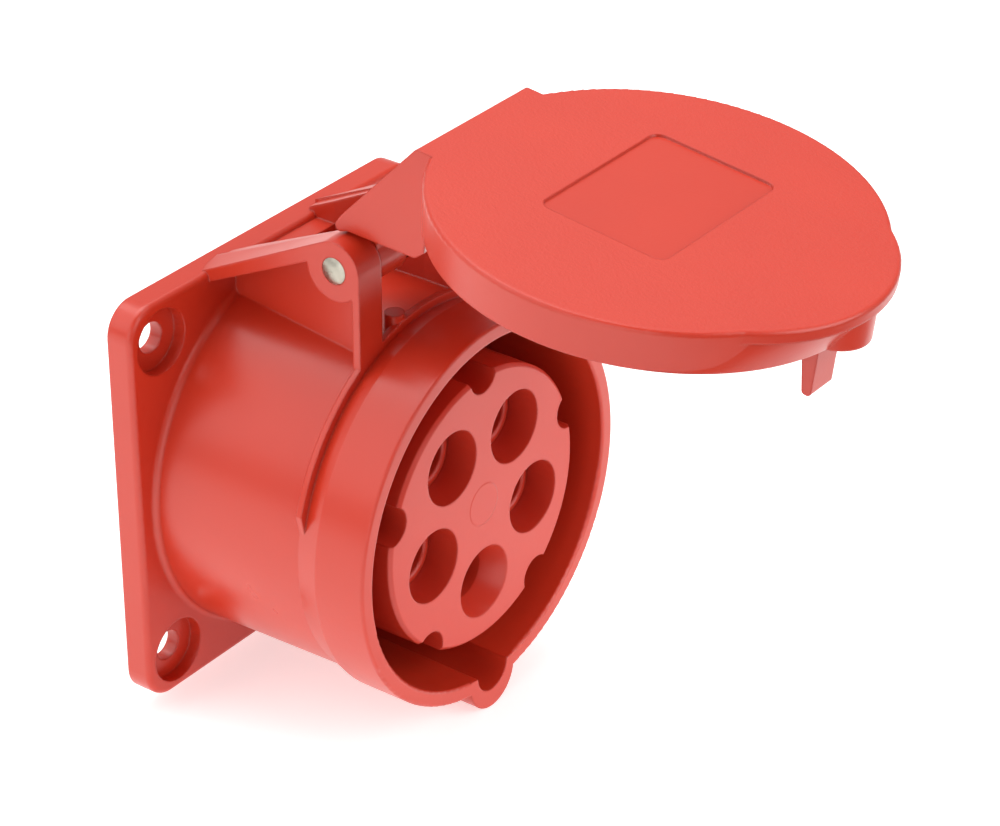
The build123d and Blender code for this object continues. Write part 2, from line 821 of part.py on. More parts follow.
def terminal_screw(angle):
    """A slotted clamp screw, backed out to leave the wire hole free."""
    tip = wire_hole_radius + loose_fit
    seat = pillar_radius + loose_fit
    shank = clamp_cylinder(angle, clamp_screw_radius, tip, seat + loose_fit)
    head = clamp_cylinder(angle, clamp_head_radius, seat, seat + clamp_head_height)
    x, z = around(contact_circle_radius + seat + clamp_head_height, angle)
    level = pillar_reach - clamp_screw_place
    slot = Pos(x, level, axis_z + z) * Rot(0, 90 - angle, 0)
    return shank + head - slot * Box(slot_width, 3 * clamp_head_radius, 2 * slot_depth)


def terminal_carrier():
    """The rear insert: seats for the stop collars and barriers between the poles."""
    radius = ring_inner_radius - barrier_margin / 2
    body = disc(radius, carrier_back_y, rear_plate_y)
    for angle in flute_angles:
        x, z = around((barrier_inner_radius + radius - barrier_margin) / 2, angle)
        length = radius - barrier_margin - barrier_inner_radius
        wall = Box(length, barrier_height + cut_margin, barrier_thickness)
        middle = rear_plate_y + (barrier_height - cut_margin) / 2
        body += Pos(x, middle, axis_z + z) * Rot(0, -angle, 0) * wall
    for angle in pole_angles.values():
        x, z = around(contact_circle_radius, angle)
        step = carrier_back_y + stop_collar_thickness
        body -= disc(stop_collar_radius + loose_fit, carrier_back_y - cut_margin, step, x, z)
        body -= disc(pillar_radius + loose_fit, step - cut_margin, rear_plate_y + cut_margin, x, z)
    body -= disc(carrier_screw_radius + screw_gap, carrier_back_y - cut_margin,
                 rear_plate_y + cut_margin)
    seat = rear_plate_y - carrier_screw_head_height
    return body - disc(carrier_screw_head_radius + loose_fit, seat, rear_plate_y + cut_margin)


def carrier_screw():
    """The slotted screw in the middle that holds the two rear pieces of the insert together."""
    seat = rear_plate_y - carrier_screw_head_height
    screw = disc(carrier_screw_radius, rear_plate_y - carrier_screw_length + loose_fit, seat)
    screw += disc(carrier_screw_head_radius, seat, rear_plate_y)
    slot = Box(3 * carrier_screw_head_radius, 2 * slot_depth, slot_width)
    return screw - Pos(0, rear_plate_y, axis_z) * slot


def retaining_ring():
    """The bayonet ring that bears on the insert's flange from behind."""
    reach = rear_bore_radius + ring_lug_reach
    ring = tube(ring_inner_radius, rear_bore_radius - loose_fit, carrier_back_y, ring_back_y)
    for index in range(ring_lug_count):
        turn = 360 / ring_lug_count * index
        ring += ring_sector(reach, ring_lug_angle, turn, carrier_back_y, ring_back_y)
    return ring - disc(ring_inner_radius, carrier_back_y - cut_margin, ring_back_y + cut_margin)


def flange_gasket():
    """A soft ring in the flange's back, flush with it when the socket is screwed down."""
    return tube(flange_gasket_inner + seal_gap, flange_gasket_outer - seal_gap,
                -flange_gasket_depth, 0)


def main():
    """Make every piece and write it to its own file."""
    pieces = {
        "housing": housing(),
        "lid": lid(),
        "lid_gasket": lid_gasket(),
        "hinge_pin": hinge_pin(),
        "lid_spring": lid_spring(),
        "contact_cover": contact_cover(),
        "contact_carrier": contact_carrier(),
        "terminal_carrier": terminal_carrier(),
        "carrier_screw": carrier_screw(),
        "retaining_ring": retaining_ring(),
        "flange_gasket": flange_gasket(),
    }
    for name, angle in pole_angles.items():
        pieces["contact_" + name] = contact(name, angle)
        pieces["clip_" + name] = clip(name, angle)
        pieces["terminal_screw_" + name] = terminal_screw(angle)
    os.makedirs("parts", exist_ok=True)
    for name, piece in pieces.items():
        export_step(piece, "parts/" + name + ".step")
        print(name, round(piece.volume, 2))


main()
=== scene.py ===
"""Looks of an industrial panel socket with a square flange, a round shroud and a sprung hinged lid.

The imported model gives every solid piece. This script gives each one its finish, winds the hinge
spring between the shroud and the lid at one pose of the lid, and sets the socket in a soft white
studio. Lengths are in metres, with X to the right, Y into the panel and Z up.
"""

import json
import logging
import math
from dataclasses import dataclass
from enum import Enum
from typing import ClassVar, Optional, Sequence

import bmesh
import bpy
from mathutils import Matrix, Vector

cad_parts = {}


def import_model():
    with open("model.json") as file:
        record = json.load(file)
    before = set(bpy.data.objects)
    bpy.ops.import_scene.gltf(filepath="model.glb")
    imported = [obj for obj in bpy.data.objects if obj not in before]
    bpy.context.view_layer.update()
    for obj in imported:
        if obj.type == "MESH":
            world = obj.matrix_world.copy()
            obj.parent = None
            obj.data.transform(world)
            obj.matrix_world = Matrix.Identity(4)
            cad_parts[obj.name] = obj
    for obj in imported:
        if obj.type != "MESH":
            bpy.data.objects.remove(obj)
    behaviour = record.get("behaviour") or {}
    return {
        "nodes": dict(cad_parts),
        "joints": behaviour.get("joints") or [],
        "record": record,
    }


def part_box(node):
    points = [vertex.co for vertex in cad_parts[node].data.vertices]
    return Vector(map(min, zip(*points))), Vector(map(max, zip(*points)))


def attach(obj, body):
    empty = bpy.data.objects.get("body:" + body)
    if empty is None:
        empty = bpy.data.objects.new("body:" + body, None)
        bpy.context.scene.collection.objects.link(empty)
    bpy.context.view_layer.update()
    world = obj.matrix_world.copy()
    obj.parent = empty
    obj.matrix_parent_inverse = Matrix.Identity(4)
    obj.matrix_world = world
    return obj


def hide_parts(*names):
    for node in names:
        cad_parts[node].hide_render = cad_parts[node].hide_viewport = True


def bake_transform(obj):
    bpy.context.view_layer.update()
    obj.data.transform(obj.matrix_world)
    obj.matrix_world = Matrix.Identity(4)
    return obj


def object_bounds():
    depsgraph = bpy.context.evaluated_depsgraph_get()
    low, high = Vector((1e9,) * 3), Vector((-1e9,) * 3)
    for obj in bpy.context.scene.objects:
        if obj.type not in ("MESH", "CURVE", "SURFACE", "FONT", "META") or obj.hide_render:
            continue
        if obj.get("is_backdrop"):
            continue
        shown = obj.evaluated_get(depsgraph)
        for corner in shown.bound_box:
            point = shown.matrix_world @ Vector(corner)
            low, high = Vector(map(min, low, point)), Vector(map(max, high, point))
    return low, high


log = logging.getLogger("panel_socket")

MM = 0.001
POLES = ("l1", "l2", "l3", "n", "earth")

Nodes = dict[str, bpy.types.Object]


class Grain(Enum):
    """How the mould's steel was finished where the plastic touched it."""

    SATIN = "satin"
    ERODED = "eroded"


def linear(code: str) -> tuple[float, float, float, float]:
    """Turn an sRGB hex code into a linear colour with full alpha.

    Args:
        code: six hex digits, with or without a leading hash.

    Returns:
        Linear red, green, blue and an alpha of one.
    """
    digits = code.lstrip("#")
    channels = [int(digits[i:i + 2], 16) / 255 for i in (0, 2, 4)]
    curve = [c / 12.92 if c <= 0.04045 else ((c + 0.055) / 1.055) ** 2.4 for c in channels]
    return (curve[0], curve[1], curve[2], 1.0)


def add_node(
    tree: bpy.types.NodeTree,
    kind: str,
    settings: Optional[dict] = None,
    inputs: Optional[dict] = None,
) -> bpy.types.Node:
    """Add one shader node with its settings, and fill or link its input sockets.

    Args:
        tree: the node tree that gets the node.
        kind: the node's type name without the leading ShaderNode.
        settings: attributes of the node itself, by name.
        inputs: values or output sockets, by the input's name or number.

    Returns:
        The new node.
    """
    node = tree.nodes.new("ShaderNode" + kind)
    for key, value in (settings or {}).items():
        setattr(node, key, value)
    for key, value in (inputs or {}).items():
        socket = node.inputs[key]
        if isinstance(value, bpy.types.NodeSocket):
            tree.links.new(value, socket)
        else:
            socket.default_value = value
    return node


def new_material(name: str) -> tuple[bpy.types.Material, bpy.types.NodeTree, bpy.types.Node]:
    """Make a material with a bare surface shader.

    Args:
        name: the finish, in a maker's words.

    Returns:
        The material, its node tree and its surface shader.
    """
    material = bpy.data.materials.new(name)
    material.use_nodes = True
    tree = material.node_tree
    tree.nodes.clear()
    shader = add_node(tree, "BsdfPrincipled")
    add_node(tree, "OutputMaterial", inputs={"Surface": shader.outputs["BSDF"]})
    return material, tree, shader


def new_object(name: str, data: bpy.types.ID) -> bpy.types.Object:
    """Put a mesh, light or camera into the scene.

    Args:
        name: the object's name.
        data: what it shows.

    Returns:
        The object.
    """
    thing = bpy.data.objects.new(name, data)
    bpy.context.scene.collection.objects.link(thing)
    return thing


def smooth(mesh: bpy.types.Mesh) -> None:
    """Shade every face of a mesh smoothly."""
    mesh.polygons.foreach_set("use_smooth", [True] * len(mesh.polygons))


@dataclass(frozen=True)
class FaceZone:
    """A flat face of a moulding whose surface differs from the rest.

    Attributes:
        normal: the direction in which the face looks, at rest.
        level: distance of the face along that direction, in metres.
        depth: how far below the face its recess lies, in metres.
        facing: the cosines to the normal at which a surface starts and fully counts as the face.
        sunk: the shares of the depth at which the recess starts and is in full.
        beneath: the multiples of the depth below which nothing counts as the recess.
    """

    normal: tuple[float, float, float]
    level: float
    depth: float
    facing: tuple[float, float] = (0.80, 0.98)
    sunk: tuple[float, float] = (0.3, 0.7)
    beneath: tuple[float, float] = (3.0, 2.9)


@dataclass(frozen=True)
class MouldedPolyamide:
    """Polyamide 6, injection moulded in a self-colour.

    The eye sees a deep warm red under a pale veil of soft reflections, with a faint cloudiness
    from the flow of the melt. A satin mould leaves the surface nearly smooth, and a spark-eroded
    one gives it a fine dull grain.

    Attributes:
        name: the finish, in a maker's words.
        colour: the plastic's colour.
        shade: its deeper colour in the melt's clouds.
        roughness: how dull the surface is, before a grained face adds to it.
        grain: how the mould was finished.
        edge_mm: the rounding that light shows on sharp edges.
        ior: how strongly the surface reflects.
        glow: the share of the light that enters the plastic and comes out again.
        face_dulling: what a grained face adds to the roughness.
        recess_roughness: the roughness in a grained face's recess.
        recess_grain: the share of the grain that is left outside the grained face.
        cloud_mm: the size of the melt's clouds.
        gloss_spread: what the clouds take from and add to the roughness.
        glow_colour: how far each colour travels inside the plastic, against red.
        glow_mm: how far red light travels there.
        gate_radius: the radius of the gate's mark in metres, or zero where there is none.
        gate_edge_mm: half the width of the mark's edge.
        gate_rise_mm: how far the mark stands up.
    """

    name: str
    colour: str = "#C2341E"
    shade: str = "#BA2E1A"
    roughness: float = 0.30
    grain: Grain = Grain.SATIN
    edge_mm: float = 0.5
    ior: float = 1.53
    glow: float = 0.10
    face_dulling: float = 0.24
    recess_roughness: float = 0.30
    recess_grain: float = 0.15
    cloud_mm: float = 18.0
    gloss_spread: tuple[float, float] = (-0.05, 0.06)
    glow_colour: tuple[float, float, float] = (1.0, 0.12, 0.06)
    glow_mm: float = 1.0
    gate_radius: float = 0.0
    gate_edge_mm: float = 0.2
    gate_rise_mm: float = 0.12

    # The real grain is about 0.15 mm wide on an eroded face and finer on a satin one. Both are
    # too fine for the render, so they are drawn coarser here.
    grain_mm: ClassVar[dict[Grain, float]] = {Grain.SATIN: 0.8, Grain.ERODED: 0.55}
    relief_mm: ClassVar[dict[Grain, float]] = {Grain.SATIN: 0.010, Grain.ERODED: 0.085}

    def make(self, face: Optional[FaceZone] = None) -> bpy.types.Material:
        """Build the material.

        Args:
            face: a face of the piece with a grained surface and a smooth recess, if it has one.

        Returns:
            The finished material.
        """
        material, tree, shader = new_material(self.name)
        place = add_node(tree, "TexCoord").outputs["Object"]
        cloud = add_node(tree, "TexNoise", inputs={
            "Vector": place, "Scale": 1 / (self.cloud_mm * MM), "Detail": 3.0,
            "Roughness": 0.5})
        tint = add_node(tree, "Mix", {"data_type": "RGBA"}, {
            "Factor": cloud.outputs["Fac"], "A": linear(self.colour), "B": linear(self.shade)})
        fine = add_node(tree, "TexNoise", inputs={
            "Vector": place, "Scale": 1 / (self.grain_mm[self.grain] * MM),
            "Detail": 2.0, "Roughness": 0.6})
        dull = add_node(tree, "MapRange", inputs={
            "Value": cloud.outputs["Fac"], "To Min": self.roughness + self.gloss_spread[0],
            "To Max": self.roughness + self.gloss_spread[1]})
        roughness = dull.outputs["Result"]
        strength = 1.0
        if face is not None:
            mask, recess = self.face_masks(tree, face)
            roughness = add_node(tree, "Mix", {"data_type": "FLOAT"}, {
                "Factor": mask, "A": roughness,
                "B": self.roughness + self.face_dulling}).outputs["Result"]
            roughness = add_node(tree, "Mix", {"data_type": "FLOAT"}, {
                "Factor": recess, "A": roughness, "B": self.recess_roughness}).outputs["Result"]
            grained = add_node(tree, "Math", {"operation": "SUBTRACT", "use_clamp": True}, {
                0: mask, 1: recess})
            strength = add_node(tree, "MapRange", inputs={
                "Value": grained.outputs["Value"], "To Min": self.recess_grain,
                "To Max": 1.0}).outputs["Result"]
        edge = add_node(tree, "Bevel", {"samples": 4}, {"Radius": self.edge_mm * MM})
        bump = add_node(tree, "Bump", inputs={
            "Height": fine.outputs["Fac"], "Distance": self.relief_mm[self.grain] * MM,
            "Strength": strength, "Normal": edge.outputs["Normal"]})
        shader.inputs["IOR"].default_value = self.ior
        shader.inputs["Subsurface Weight"].default_value = self.glow
        shader.inputs["Subsurface Radius"].default_value = self.glow_colour
        shader.inputs["Subsurface Scale"].default_value = self.glow_mm * MM
        tree.links.new(tint.outputs["Result"], shader.inputs["Base Color"])
        tree.links.new(roughness, shader.inputs["Roughness"])
        normal = bump.outputs["Normal"]
        if self.gate_radius:
            normal = self.gate_mark(tree, normal)
        tree.links.new(normal, shader.inputs["Normal"])
        return material

    def gate_mark(
        self, tree: bpy.types.NodeTree, normal: bpy.types.NodeSocket
    ) -> bpy.types.NodeSocket:
        """Raise the small round mark where the plastic entered the mould, on the socket's axis.

        Args:
            tree: the material's node tree.
            normal: the surface direction so far.

        Returns:
            The surface direction with the mark.
        """
        place = add_node(tree, "TexCoord").outputs["Object"]
        across = add_node(tree, "VectorMath", {"operation": "MULTIPLY"}, {
            0: place, 1: (1.0, 0.0, 1.0)})
        radius = add_node(tree, "VectorMath", {"operation": "LENGTH"}, {
            0: across.outputs["Vector"]})
        disc = add_node(tree, "MapRange", {"interpolation_type": "SMOOTHSTEP"}, {
            "Value": radius.outputs["Value"],
            "From Min": self.gate_radius - self.gate_edge_mm * MM,
            "From Max": self.gate_radius + self.gate_edge_mm * MM, "To Min": 1.0, "To Max": 0.0})
        mark = add_node(tree, "Bump", inputs={
            "Height": disc.outputs["Result"], "Distance": self.gate_rise_mm * MM,
            "Normal": normal})
        return mark.outputs["Normal"]

    @staticmethod
    def face_masks(
        tree: bpy.types.NodeTree, face: FaceZone
    ) -> tuple[bpy.types.NodeSocket, bpy.types.NodeSocket]:
        """Find the grained face and its recess.

        Args:
            tree: the material's node tree.
            face: where the face lies.

        Returns:
            A mask of the grained face and a mask of the recess's floor.
        """
        coordinate = add_node(tree, "TexCoord")
        looks = add_node(tree, "VectorMath", {"operation": "DOT_PRODUCT"}, {
            0: coordinate.outputs["Normal"], 1: face.normal})
        height = add_node(tree, "VectorMath", {"operation": "DOT_PRODUCT"}, {
            0: coordinate.outputs["Object"], 1: face.normal})
        flat = add_node(tree, "MapRange", inputs={
            "Value": looks.outputs["Value"], "From Min": face.facing[0],
            "From Max": face.facing[1]})
        low, bottom = [add_node(tree, "MapRange", inputs={
            "Value": height.outputs["Value"], "From Min": face.level - shares[0] * face.depth,
            "From Max": face.level - shares[1] * face.depth})
            for shares in (face.sunk, face.beneath)]
        recess = add_node(tree, "Math", {"operation": "MULTIPLY"}, {
            0: low.outputs["Result"], 1: flat.outputs["Result"]})
        recess = add_node(tree, "Math", {"operation": "MULTIPLY"}, {
            0: recess.outputs["Value"], 1: bottom.outputs["Result"]})
        return flat.outputs["Result"], recess.outputs["Value"]


@dataclass(frozen=True)
class BareMetal:
    """A small metal piece: headed, drawn or turned, and left bare or thinly plated.

    The eye sees soft metal with a cloudy tint and fine streaks left along one direction by the
    die or the lathe.

    Attributes:
        name: the finish, in a maker's words.
        colour: the metal's tint.
        shade: its darker tint in the clouds.
        roughness: how dull the surface is.
        streak_mm: the width of the streaks.
        stretch: the streaks' scale along X, Y and Z, below one where they are drawn out.
        cloud_mm: the size of the clouds.
        gloss_spread: what the streaks take from and add to the roughness.
        relief_mm: the streaks' depth.
        edge_mm: the rounding that light shows on sharp edges.
    """

    name: str
    colour: str
    shade: str
    roughness: float
    streak_mm: float
    stretch: tuple[float, float, float]
    cloud_mm: float = 1.5
    gloss_spread: tuple[float, float] = (-0.06, 0.10)
    relief_mm: float = 0.006
    edge_mm: float = 0.15

    def make(self) -> bpy.types.Material:
        """Build the material."""
        material, tree, shader = new_material(self.name)
        place = add_node(tree, "TexCoord").outputs["Object"]
        along = add_node(tree, "Mapping", inputs={"Vector": place, "Scale": self.stretch})
        streak = add_node(tree, "TexNoise", inputs={
            "Vector": along.outputs["Vector"], "Scale": 1 / (self.streak_mm * MM),
            "Detail": 3.0, "Roughness": 0.6})
        cloud = add_node(tree, "TexNoise", inputs={
            "Vector": place, "Scale": 1 / (self.cloud_mm * MM), "Detail": 2.0})
        tint = add_node(tree, "Mix", {"data_type": "RGBA"}, {
            "Factor": cloud.outputs["Fac"], "A": linear(self.colour), "B": linear(self.shade)})
        rough = add_node(tree, "MapRange", inputs={
            "Value": streak.outputs["Fac"], "From Min": 0.3, "From Max": 0.7,
            "To Min": self.roughness + self.gloss_spread[0],
            "To Max": self.roughness + self.gloss_spread[1]})
        edge = add_node(tree, "Bevel", {"samples": 4}, {"Radius": self.edge_mm * MM})
        bump = add_node(tree, "Bump", inputs={
            "Height": streak.outputs["Fac"], "Distance": self.relief_mm * MM,
            "Normal": edge.outputs["Normal"]})
        shader.inputs["Metallic"].default_value = 1.0
        tree.links.new(tint.outputs["Result"], shader.inputs["Base Color"])
        tree.links.new(rough.outputs["Result"], shader.inputs["Roughness"])
        tree.links.new(bump.outputs["Normal"], shader.inputs["Normal"])
        return material


@dataclass(frozen=True)
class NitrileRubber:
    """Compression-moulded nitrile rubber.

    The eye sees a soft near-black with a dusty bloom and no clear highlight.
    """

    name: str = "nitrile rubber, compression moulded"
    colour: str = "#1B1B1C"
    bloom: str = "#2C2B2A"
    roughness: float = 0.68
    cloud_mm: float = 4.0
    grain_mm: float = 0.3
    relief_mm: float = 0.02

    def make(self) -> bpy.types.Material:
        """Build the material."""
        material, tree, shader = new_material(self.name)
        place = add_node(tree, "TexCoord").outputs["Object"]
        cloud = add_node(tree, "TexNoise", inputs={
            "Vector": place, "Scale": 1 / (self.cloud_mm * MM), "Detail": 4.0})
        tint = add_node(tree, "Mix", {"data_type": "RGBA"}, {
            "Factor": cloud.outputs["Fac"], "A": linear(self.colour), "B": linear(self.bloom)})
        fine = add_node(tree, "TexNoise", inputs={
            "Vector": place, "Scale": 1 / (self.grain_mm * MM)})
        bump = add_node(tree, "Bump", inputs={
            "Height": fine.outputs["Fac"], "Distance": self.relief_mm * MM})
        shader.inputs["Roughness"].default_value = self.roughness
        tree.links.new(tint.outputs["Result"], shader.inputs["Base Color"])
        tree.links.new(bump.outputs["Normal"], shader.inputs["Normal"])
        return material


# Zinc plate on headed steel: pale grey with a faint warm cloud and soft highlights.
ZINC = BareMetal("steel, cold headed, zinc plated", "#BDB8AA", "#959083", 0.32, 0.25,
                 (0.06, 1.0, 1.0))
# Drawn wire: a darker plain grey with a tight, streaky shine.
WIRE = BareMetal("spring steel, drawn and oiled", "#A9ABAE", "#7E8083", 0.28, 0.12,
                 (0.2, 1.0, 1.0))
# Turned brass: warm yellow, with the tool's fine rings across it.
BRASS = BareMetal("brass, turned", "#D9B36A", "#B98F45", 0.26, 0.18, (1.0, 0.08, 1.0))
RUBBER = NitrileRubber()


def dress(nodes: Nodes, names: Sequence[str], material: bpy.types.Material) -> None:
    """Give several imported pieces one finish.

    Args:
        nodes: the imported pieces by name.
        names: the pieces to dress.
        material: their finish.
    """
    for name in names:
        mesh = nodes[name].data
        mesh.materials.clear()
        mesh.materials.append(material)
        log.info("%s: %s", name, material.name)


@dataclass
class Housing:
    """The red moulding with flange, shroud, keyway and hinge ears, and its seal."""

    finish: MouldedPolyamide = MouldedPolyamide("polyamide, moulded, satin")

    def build(self, nodes: Nodes) -> None:
        """Dress the housing and the seal in its back."""
        dress(nodes, ["housing"], self.finish.make())
        dress(nodes, ["flange_gasket"], RUBBER.make())


@dataclass
class Lid:
    """The hinged lid: a grained face with a smooth label recess, a rim, a hood and a gasket.

    Attributes:
        face_height: from the pin's middle to the lid's face, square to the face.
        label_depth: how deep the label recess is.
        finish: the moulding's finish.
    """

    face_height: float = 25.75 * MM
    label_depth: float = 0.4 * MM
    finish: MouldedPolyamide = MouldedPolyamide(
        "polyamide, moulded, spark-eroded face", grain=Grain.ERODED, roughness=0.32)

    def build(self, nodes: Nodes, hinge: dict) -> None:
        """Dress the lid and its gasket.

        Args:
            nodes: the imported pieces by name.
            hinge: the lid's joint from the record.
        """
        closing = math.radians(hinge["range_deg"][1])
        normal = Vector((0.0, -math.cos(closing), math.sin(closing)))
        level = normal.dot(Vector(hinge["pos_m"])) + self.face_height
        face = FaceZone(tuple(normal), level, self.label_depth)
        dress(nodes, ["lid"], self.finish.make(face))
        dress(nodes, ["lid_gasket"], RUBBER.make())


@dataclass
class HingeSpring:
    """The lid's torsion spring: a close coil on the pin with a leg at each end.

    Attributes:
        foot: Y and Z from the pin to the end of the leg that stands on the shroud.
        heel: the other leg's bend, as its drop below the pin and its reach in front of it, with
            the lid shut.
        heel_length: what that leg has beyond its bend.
    """

    wire_radius: float = 0.55 * MM
    coil_radius: float = 3.6 * MM
    pitch: float = 1.22 * MM
    turns: int = 6
    foot: tuple[float, float] = (11.5 * MM, -12.35 * MM)
    heel: tuple[float, float] = (-4.9 * MM, 4.2 * MM)
    heel_length: float = 3.0 * MM
    points_per_turn: int = 28
    smoothness: int = 5

    def build(self, nodes: Nodes, hinge: dict) -> None:
        """Dress the pin and wind the spring across the joint.

        Args:
            nodes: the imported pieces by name.
            hinge: the lid's joint from the record.
        """
        dress(nodes, ["hinge_pin"], ZINC.make())
        centre = Vector(hinge["pos_m"])
        path, length = self.path(centre, math.radians(hinge["range_deg"][1]))
        spring = self.wire("hinge_spring", path)
        spring.data.materials.append(WIRE.make())
        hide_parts("lid_spring")
        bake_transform(spring)
        log.info("hinge_spring: %d turns of %.2f mm wire", self.turns, self.wire_radius / MM * 2)

    def path(self, centre: Vector, lean: float) -> tuple[list[Vector], float]:
        """Trace the wire from the leg on the shroud to the leg that turns with the lid.

        Args:
            centre: the pin's middle.
            lean: the angle by which the lid stands open, in radians.

        Returns:
            Points along the wire and the coil's length.
        """
        drop, reach = self.heel
        heel = (-drop * math.sin(lean) - reach * math.cos(lean),
                -drop * math.cos(lean) + reach * math.sin(lean))
        first = self.meeting_angle(self.foot, 1)
        last = self.meeting_angle(heel, -1)
        turn = 2 * math.pi * self.turns + (last - first) % (2 * math.pi)
        length = self.pitch * turn / (2 * math.pi)
        steps = round(turn / (2 * math.pi) * self.points_per_turn)
        points = [Vector((-length / 2, *self.foot))]
        for step in range(steps + 1):
            angle = first + turn * step / steps
            points.append(Vector((length * (step / steps - 0.5),
                                  self.coil_radius * math.cos(angle),
                                  self.coil_radius * math.sin(angle))))
        tip = Vector((length / 2, *heel))
        points.append(tip + (tip - points[-1]).normalized() * self.heel_length)
        return [centre + point for point in points], length

    def meeting_angle(self, point: tuple[float, float], side: int) -> float:
        """Find where a wire from a point of the side view meets the coil.

        Args:
            point: Y and Z of the point, from the pin.
            side: which of the two tangents.

        Returns:
            An angle about the pin, in radians.
        """
        share = math.acos(self.coil_radius / math.hypot(*point))
        return math.atan2(point[1], point[0]) + side * share

    def wire(self, name: str, path: Sequence[Vector]) -> bpy.types.Object:
        """Draw a round wire along a path as a mesh.

        Args:
            name: the piece's name.
            path: points along the wire's middle.

        Returns:
            The wire.
        """
        curve = bpy.data.curves.new(name, "CURVE")
        curve.dimensions = "3D"
        curve.bevel_depth = self.wire_radius
        curve.bevel_resolution = self.smoothness
        curve.use_fill_caps = True
        spline = curve.splines.new("POLY")
        spline.points.add(len(path) - 1)
        for point, place in zip(spline.points, path):
            point.co = (*place, 1.0)
        drawn = bpy.data.objects.new(name + "_line", curve)
        mesh = bpy.data.meshes.new_from_object(drawn)
        smooth(mesh)
        bpy.data.objects.remove(drawn)
        return new_object(name, mesh)


@dataclass
class Insert:
    """The red front cover and contact block, the grey terminal plate and the bayonet ring.

    Attributes:
        front: the red moulding's finish, duller than the housing's.
        rear: the grey moulding's finish, evenly dull with soft highlights.
        ledge_depth: from the cover's face to the ledge in a bore.
        ledge_back: from the cover's face to the ledge's back, where the cover carries it.
        ledge_step: the height of the ledge's step, and of the slope round it.
        ledge_seat: the width of the ledge's lower outer part.
    """

    front: MouldedPolyamide = MouldedPolyamide(
        "polyamide, moulded insert", colour="#C43724", shade="#BC3120", roughness=0.36,
        gate_radius=3.8 * MM)
    rear: MouldedPolyamide = MouldedPolyamide(
        "polyamide, moulded grey", colour="#55585A", shade="#4A4D4F", roughness=0.4)

    ledge_radius: float = 6.5 * MM
    ledge_hole: float = 4.35 * MM
    ledge_depth: float = 5.4 * MM
    ledge_back: float = 7.0 * MM
    ledge_step: float = 0.3 * MM
    ledge_seat: float = 1.0 * MM
    segments: int = 72
    sharp_degrees: float = 30.0

    def build(self, nodes: Nodes, mounts: Sequence[dict]) -> None:
        """Dress the insert's pieces and set a stepped ledge into the phase and neutral bores.

        Args:
            nodes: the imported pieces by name.
            mounts: the record's mounts, which give the bores' places.
        """
        red = self.front.make()
        dress(nodes, ["contact_cover", "contact_carrier"], red)
        dress(nodes, ["terminal_carrier", "retaining_ring"], self.rear.make())
        dress(nodes, ["carrier_screw"], ZINC.make())
        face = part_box("contact_cover")[0][1]
        places = {mount["name"]: mount["pos_m"] for mount in mounts}
        for pole in POLES[:-1]:
            across, _, up = places[f"contact_{pole}_bore"]
            ledge = self.ledge("bore_ledge_" + pole, Vector((across, face, up)))
            ledge.data.materials.append(red)
            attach(ledge, "socket")
            log.info("%s: %s", ledge.name, red.name)

    def ledge(self, name: str, mouth: Vector) -> bpy.types.Object:
        """Turn a stepped ring that sits in a bore.

        Args:
            name: the piece's name.
            mouth: the middle of the bore at the cover's face.

        Returns:
            The ring.
        """
        seat = self.ledge_radius - self.ledge_seat
        profile = [(self.ledge_radius, self.ledge_back),
                   (self.ledge_radius, self.ledge_depth + 2 * self.ledge_step),
                   (seat, self.ledge_depth + self.ledge_step),
                   (seat, self.ledge_depth),
                   (self.ledge_hole + self.ledge_step, self.ledge_depth),
                   (self.ledge_hole, self.ledge_depth + self.ledge_step),
                   (self.ledge_hole, self.ledge_back)]
        points = []
        for step in range(self.segments):
            angle = 2 * math.pi * step / self.segments
            points += [mouth + Vector((radius * math.cos(angle), depth, radius * math.sin(angle)))
                       for radius, depth in profile]
        count = len(profile)
        faces = []
        for step in range(self.segments):
            here, after = step * count, (step + 1) % self.segments * count
            faces += [(here + i, after + i, after + (i + 1) % count, here + (i + 1) % count)
                      for i in range(count)]
        mesh = bpy.data.meshes.new(name)
        mesh.from_pydata(points, [], faces)
        form = bmesh.new()
        form.from_mesh(mesh)
        bmesh.ops.recalc_face_normals(form, faces=form.faces)
        form.to_mesh(mesh)
        form.free()
        smooth(mesh)
        mesh.set_sharp_from_angle(angle=math.radians(self.sharp_degrees))
        return new_object(name, mesh)


@dataclass
class Contacts:
    """Five turned sleeves with their spring clips and clamp screws."""

    def build(self, nodes: Nodes) -> None:
        """Dress the contacts, clips and clamp screws."""
        dress(nodes, ["contact_" + pole for pole in POLES], BRASS.make())
        dress(nodes, ["clip_" + pole for pole in POLES], WIRE.make())
        dress(nodes, ["terminal_screw_" + pole for pole in POLES], ZINC.make())


@dataclass(frozen=True)
class SoftBox:
    """A square soft box.

    Attributes:
        name: the light's name.
        place: where it hangs, in metres.
        side: its side, in metres.
        power: its power, in watts.
        target: the point that it faces.
    """

    name: str
    place: tuple[float, float, float]
    side: float
    power: float
    target: tuple[float, float, float] = (0.0, -0.03, 0.0)

    def build(self) -> None:
        """Hang the soft box."""
        data = bpy.data.lights.new(self.name, "AREA")
        data.size = self.side
        data.energy = self.power
        light = new_object(self.name, data)
        light.location = self.place
        reach = Vector(self.target) - Vector(self.place)
        light.rotation_euler = reach.to_track_quat("-Z", "Y").to_euler()


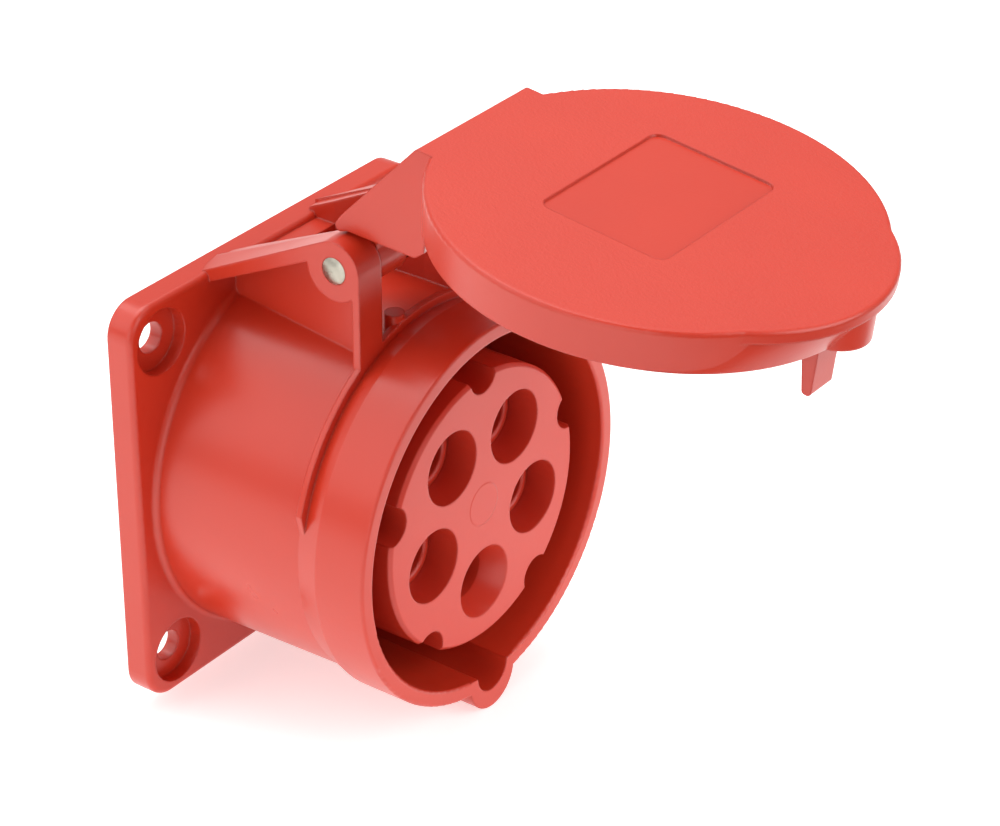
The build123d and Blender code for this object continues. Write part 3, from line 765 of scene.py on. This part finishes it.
@dataclass(frozen=True)
class Studio:
    """A white studio: pale floor, soft boxes and the camera at the photograph's angle.

    Attributes:
        eye: the camera's place, in metres.
        azimuth: the camera's turn about Z, in degrees.
        elevation: how far it looks down, in degrees.
        floor_front: where the floor ends towards the camera, so that the room's darker front
            shows as a reflection in the low sides.
        floor_gap: room between the object and the floor.
        dark_side: the direction in which the room is darkest.
        sky_fade: the cosines to that direction at which the room starts to darken and is darkest.
        seen_sky: the white that the camera sees behind the object.
    """

    eye: tuple[float, float, float] = (-0.3954, -0.3448, 0.3014)
    azimuth: float = -53.403
    elevation: float = 29.859
    lens: float = 125.15
    sensor: float = 36.0
    nearest: float = 0.01
    floor_side: float = 6.0
    floor_front: float = -0.19
    floor_gap: float = 0.2 * MM
    floor_colour: str = "#ECEBEA"
    floor_roughness: float = 0.9
    floor_glow: float = 0.50
    white: str = "#FFFFFF"
    bright_sky: float = 0.55
    dark_sky: float = 0.20
    dark_side: tuple[float, float, float] = (-0.25, -0.93, 0.26)
    sky_fade: tuple[float, float] = (-0.2, 0.8)
    seen_sky: float = 1.1
    lights: tuple[SoftBox, ...] = (
        SoftBox("overhead", (0.14, 0.20, 0.92), 0.8, 7.4, (0.0, -0.04, 0.0)),
        SoftBox("shoulder", (-0.60, 0.60, 0.68), 1.0, 4.4),
        SoftBox("left", (-1.05, -0.25, 0.30), 0.9, 4.2),
        SoftBox("front", (0.25, -1.15, 0.50), 1.1, 13.5),
    )

    def build(self, lowest: float) -> None:
        """Set the floor, the sky, the lights and the camera.

        Args:
            lowest: height of the object's lowest point, in metres.
        """
        bpy.context.scene.view_settings.view_transform = "Standard"
        self.floor(lowest - self.floor_gap)
        self.sky()
        for light in self.lights:
            light.build()
        self.camera()
        log.info("studio: %d soft boxes", len(self.lights))

    def floor(self, height: float) -> None:
        """Lay a softly lit white floor at a height in metres."""
        mesh = bpy.data.meshes.new("floor")
        half = self.floor_side / 2
        corners = [(-half, self.floor_front, height), (half, self.floor_front, height),
                   (half, half, height), (-half, half, height)]
        mesh.from_pydata(corners, [], [(0, 1, 2, 3)])
        material, _, shader = new_material("white acrylic sheet, lit from below")
        shader.inputs["Base Color"].default_value = linear(self.floor_colour)
        shader.inputs["Roughness"].default_value = self.floor_roughness
        shader.inputs["Emission Color"].default_value = linear(self.white)
        shader.inputs["Emission Strength"].default_value = self.floor_glow
        mesh.materials.append(material)
        new_object("floor", mesh)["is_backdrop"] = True

    def sky(self) -> None:
        """Fill the room with white light that falls off towards the front of the room."""
        world = bpy.data.worlds.new("white tent")
        world.use_nodes = True
        tree = world.node_tree
        back = tree.nodes["Background"]
        where = add_node(tree, "TexCoord").outputs["Generated"]
        toward = add_node(tree, "VectorMath", {"operation": "DOT_PRODUCT"}, {
            0: where, 1: self.dark_side})
        level = add_node(tree, "MapRange", {"interpolation_type": "SMOOTHSTEP"}, {
            "Value": toward.outputs["Value"], "From Min": self.sky_fade[0],
            "From Max": self.sky_fade[1], "To Min": self.bright_sky, "To Max": self.dark_sky})
        seen = add_node(tree, "LightPath").outputs["Is Camera Ray"]
        strength = add_node(tree, "Mix", {"data_type": "FLOAT"}, {
            "Factor": seen, "A": level.outputs["Result"], "B": self.seen_sky})
        back.inputs["Color"].default_value = linear(self.white)
        tree.links.new(strength.outputs["Result"], back.inputs["Strength"])
        bpy.context.scene.world = world

    def camera(self) -> None:
        """Set the camera where the photograph was taken from."""
        data = bpy.data.cameras.new("camera")
        data.lens = self.lens
        data.sensor_width = self.sensor
        data.clip_start = self.nearest
        camera = new_object("camera", data)
        camera.location = self.eye
        turn = Matrix.Rotation(math.radians(self.azimuth), 4, "Z")
        tilt = Matrix.Rotation(math.radians(90 - self.elevation), 4, "X")
        camera.rotation_euler = (turn @ tilt).to_euler()
        bpy.context.scene.camera = camera


def main() -> None:
    """Build every sub-assembly in order."""
    logging.basicConfig(level=logging.INFO, format="%(name)s: %(message)s")
    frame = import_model()
    solid_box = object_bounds()
    nodes = frame["nodes"]
    hinge = frame["joints"][0]
    Housing().build(nodes)
    Lid().build(nodes, hinge)
    HingeSpring().build(nodes, hinge)
    Insert().build(nodes, frame["record"]["mounts"])
    Contacts().build(nodes)
    Studio().build(solid_box[0][2])


if __name__ == "__main__":
    main()
